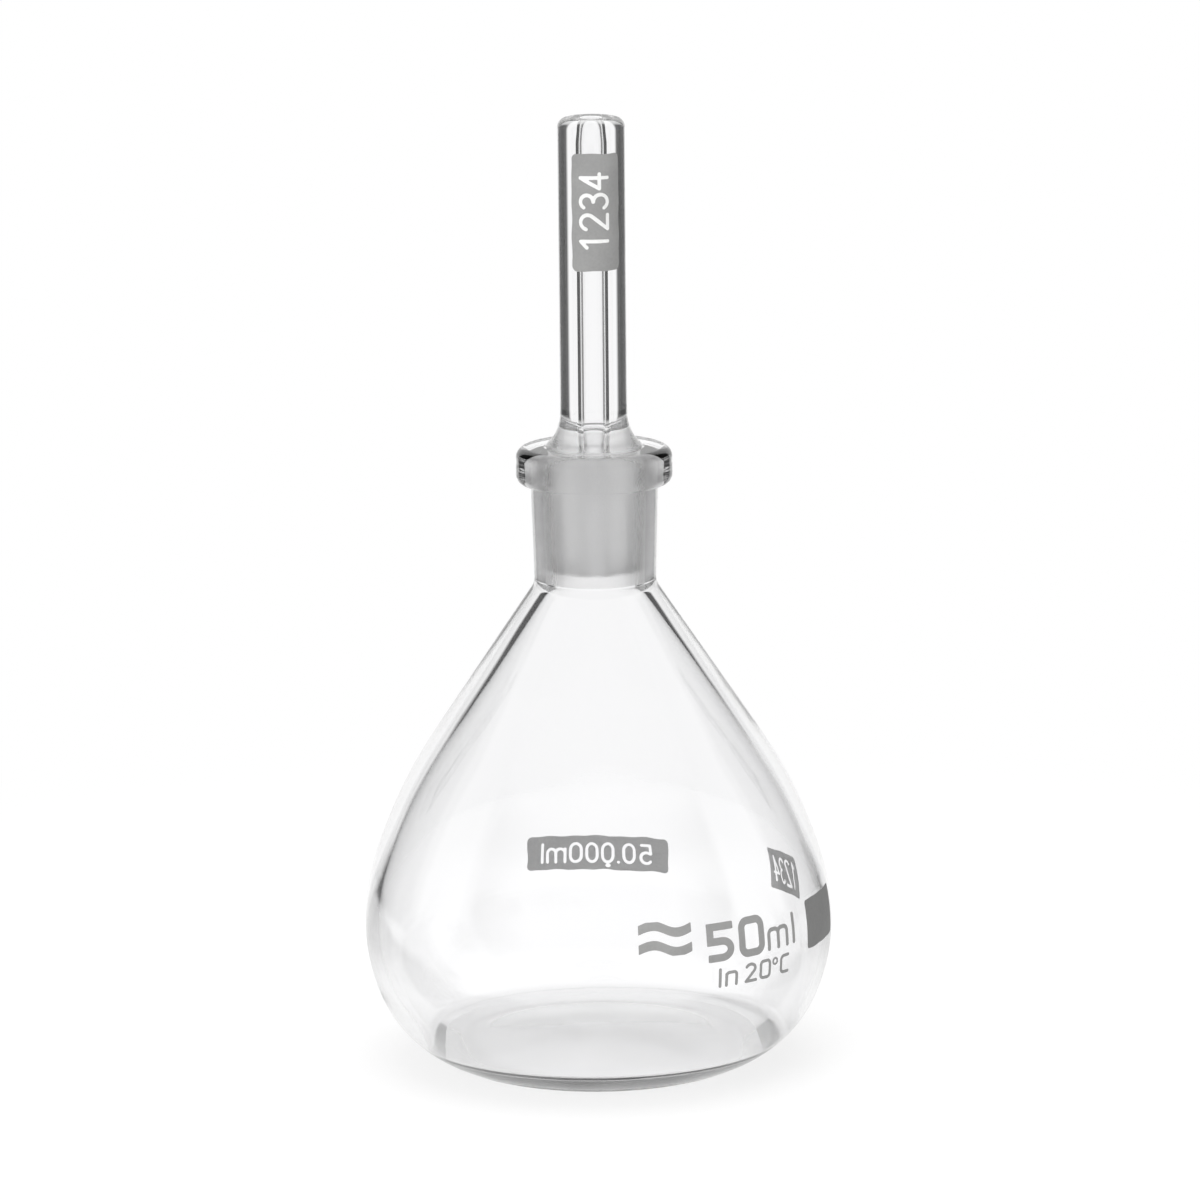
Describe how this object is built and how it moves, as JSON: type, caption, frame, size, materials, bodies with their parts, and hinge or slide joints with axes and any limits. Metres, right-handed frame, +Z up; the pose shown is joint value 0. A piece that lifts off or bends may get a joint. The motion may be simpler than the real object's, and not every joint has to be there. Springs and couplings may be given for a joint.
{
  "type": "pycnometer",
  "caption": "Pear-shaped glass density bottle with a flat base and beaded neck, and its ground-in capillary stopper that lifts out",
  "frame": {"origin": "centre of the base, on the plane that the bottle stands on", "axes": "+Z runs up the common axis of the bottle and the stopper; the object is round, and +Y is the side away from the printed front"},
  "size_m": [0.0492, 0.0492, 0.1],
  "materials": {
    "clear_glass": "clear and fire-polished, ground matt on the plug and in the socket"
  },
  "bodies": {
    "bottle": {"bottle": "clear_glass"},
    "stopper": {"stopper": "clear_glass"}
  },
  "joints": [
    {"name": "stopper_lift", "type": "slide", "parent": "bottle", "child": "stopper", "axis": [0, 0, 1], "range_m": [0, 0.025]}
  ]
}
